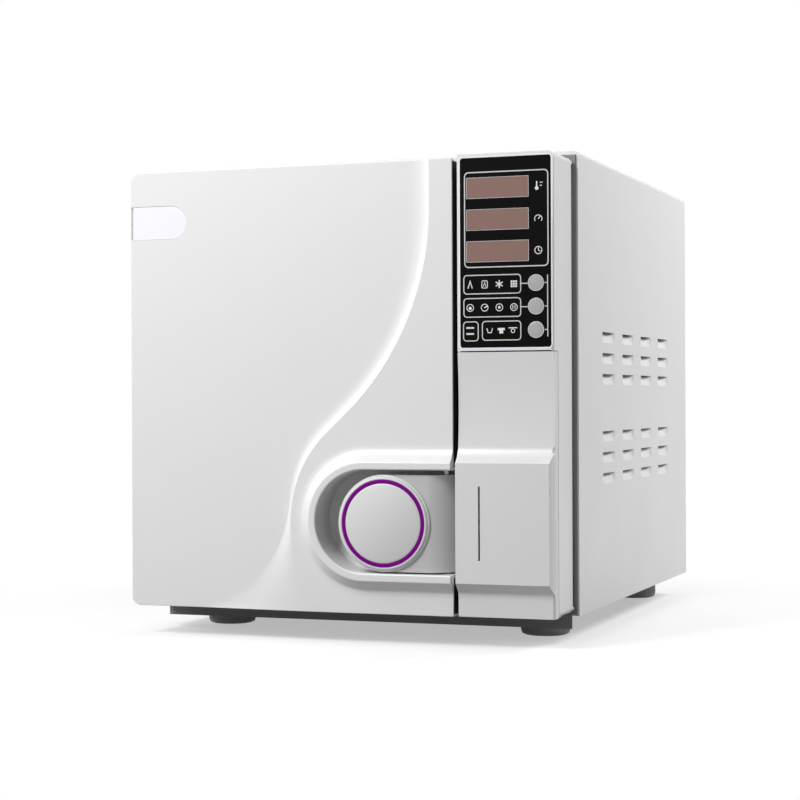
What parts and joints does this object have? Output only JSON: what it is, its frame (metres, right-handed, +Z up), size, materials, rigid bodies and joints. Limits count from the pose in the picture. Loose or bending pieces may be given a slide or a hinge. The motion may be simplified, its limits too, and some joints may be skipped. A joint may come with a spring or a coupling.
{
  "type": "bench-top dental autoclave",
  "caption": "White bench-top steam steriliser with a side-hinged door, pull handle, dark control panel, printer flap and a pressure chamber with trays.",
  "frame": {"origin": "on the floor, at the centre of the machine's bounding box", "axes": "+Z up; the front looks along -Y; +X is to the right of someone facing the front"},
  "size_m": [0.38, 0.52, 0.4086],
  "materials": {
    "white_enamel": "satin white enamel on folded steel sheet",
    "white_moulding": "satin white moulded ABS",
    "grey_moulding": "light grey moulded plastic",
    "violet_trim": "violet moulded ring",
    "pale_inlay": "bare pale inlay",
    "stainless_steel": "brushed and polished stainless steel",
    "zinc_steel": "zinc-plated steel",
    "natural_tank": "natural polyethylene",
    "dark_foil": "dark printed polyester foil",
    "display_glass": "tinted display window",
    "circuit_board": "green circuit board",
    "grey_key": "grey moulded key",
    "black_moulding": "black moulded plastic",
    "silicone_rubber": "silicone rubber",
    "black_rubber": "black rubber",
    "dark_base": "dark grey painted steel",
    "mica_band": "metal-sheathed heater band",
    "glass_wool": "glass wool with foil face",
    "tray_aluminium": "anodised aluminium",
    "paper": "thermal paper",
    "filter_plastic": "white filter housing",
    "black_motor": "black painted motor",
    "fin_aluminium": "bare aluminium fins",
    "brass_fittings": "turned brass",
    "red_knob": "red moulded knob",
    "copper": "soft copper pipe"
  },
  "bodies": {
    "cabinet": {"air_filter": "filter_plastic", "base_tray": "dark_base", "cabinet_cover": "white_enamel", "chamber": "stainless_steel", "condenser": "fin_aluminium", "control_board": "circuit_board", "copper_pipes": "copper", "display_board": "circuit_board", "display_windows": "display_glass", "door_hinge_pins": "stainless_steel", "drain_fittings": "brass_fittings", "fan_housing": "black_moulding", "feet": "black_rubber", "flange_bolts": "zinc_steel", "front_bulkhead": "zinc_steel", "front_frame": "white_moulding", "fuse_holders": "black_moulding", "heater_bands": "mica_band", "inner_wall": "zinc_steel", "lagging": "glass_wool", "lock_keepers": "zinc_steel", "mains_inlet": "black_moulding", "membrane_panel": "dark_foil", "power_supply": "zinc_steel", "rear_panel": "white_enamel", "saddles": "zinc_steel", "safety_valve": "brass_fittings", "service_hinge_pins": "stainless_steel", "steam_generator": "stainless_steel", "switch_body": "black_moulding", "temperature_probe": "stainless_steel", "tray_rack": "stainless_steel", "trays": "tray_aluminium", "vacuum_pump": "black_motor", "valve_manifold": "brass_fittings", "water_pump": "black_motor", "water_tank": "natural_tank"},
    "door": {"door_cover": "white_moulding", "badge_inlay": "pale_inlay", "door_liner": "black_moulding", "door_bridge": "zinc_steel", "pressure_door": "stainless_steel", "door_gasket": "silicone_rubber", "handle_pin": "stainless_steel"},
    "handle": {"handle_lever": "grey_moulding", "handle_cap": "white_moulding", "handle_ring": "violet_trim"},
    "lock": {"lock_bar": "zinc_steel"},
    "program_key": {"key_program": "grey_key"},
    "start_key": {"key_start": "grey_key"},
    "test_key": {"key_test": "grey_key"},
    "service_flap": {"service_door": "white_moulding", "printer_case": "black_moulding"},
    "roll": {"paper_roll": "paper"},
    "platen": {"platen_roller": "black_rubber"},
    "lid": {"tank_lid": "white_moulding"},
    "fan": {"fan_rotor": "black_moulding"},
    "rocker": {"switch_rocker": "black_moulding"},
    "drain_tap": {"drain_knob": "red_knob"},
    "valve_pull": {"safety_pull": "brass_fittings"}
  },
  "joints": [
    {"name": "door_swing", "type": "hinge", "parent": "cabinet", "child": "door", "pos_m": [-0.183, -0.2045, 0.2092], "axis": [0, 0, -1], "range_deg": [0, 100]},
    {"name": "handle_pull", "type": "hinge", "parent": "door", "child": "handle", "pos_m": [0.0918, -0.235, 0.1005], "axis": [0, 0, 1], "range_deg": [0, 45]},
    {"name": "lock_slide", "type": "slide", "parent": "door", "child": "lock", "axis": [-1, 0, 0], "range_m": [0, 0.0124]},
    {"name": "program_press", "type": "slide", "parent": "cabinet", "child": "program_key", "axis": [0, 1, 0], "range_m": [0, 0.0008], "stiffness_N_per_m": 1200},
    {"name": "start_press", "type": "slide", "parent": "cabinet", "child": "start_key", "axis": [0, 1, 0], "range_m": [0, 0.0008], "stiffness_N_per_m": 1200},
    {"name": "test_press", "type": "slide", "parent": "cabinet", "child": "test_key", "axis": [0, 1, 0], "range_m": [0, 0.0008], "stiffness_N_per_m": 1200},
    {"name": "service_flap_swing", "type": "hinge", "parent": "cabinet", "child": "service_flap", "pos_m": [0.1808, -0.226, 0.13], "axis": [0, 0, 1], "range_deg": [0, 90]},
    {"name": "roll_spin", "type": "hinge", "parent": "service_flap", "child": "roll", "pos_m": [0.1495, -0.2365, 0.1005], "axis": [0, 0, 1], "continuous": true},
    {"name": "platen_spin", "type": "hinge", "parent": "service_flap", "child": "platen", "pos_m": [0.132, -0.2485, 0.1005], "axis": [0, 0, 1], "continuous": true},
    {"name": "lid_lift", "type": "hinge", "parent": "cabinet", "child": "lid", "pos_m": [-0.0415, 0.028, 0.406], "axis": [-1, 0, 0], "range_deg": [0, 95]},
    {"name": "fan_spin", "type": "hinge", "parent": "cabinet", "child": "fan", "pos_m": [0.143, 0.2213, 0.3], "axis": [0, 1, 0], "continuous": true},
    {"name": "rocker_press", "type": "hinge", "parent": "cabinet", "child": "rocker", "pos_m": [0.15, 0.235, 0.096], "axis": [-1, 0, 0], "range_deg": [0, 14]},
    {"name": "drain_turn", "type": "hinge", "parent": "cabinet", "child": "drain_tap", "pos_m": [-0.135, 0.2, 0.09], "axis": [0, 1, 0], "range_deg": [0, 90]},
    {"name": "valve_pull_out", "type": "slide", "parent": "cabinet", "child": "valve_pull", "axis": [0, 1, 0], "range_m": [0, 0.003], "stiffness_N_per_m": 1500}
  ],
  "couplings": [
    {"joint": "lock_slide", "follows": "handle_pull", "m_per_rad": 0.01578},
    {"joint": "platen_spin", "follows": "roll_spin", "ratio": 3.3333}
  ]
}
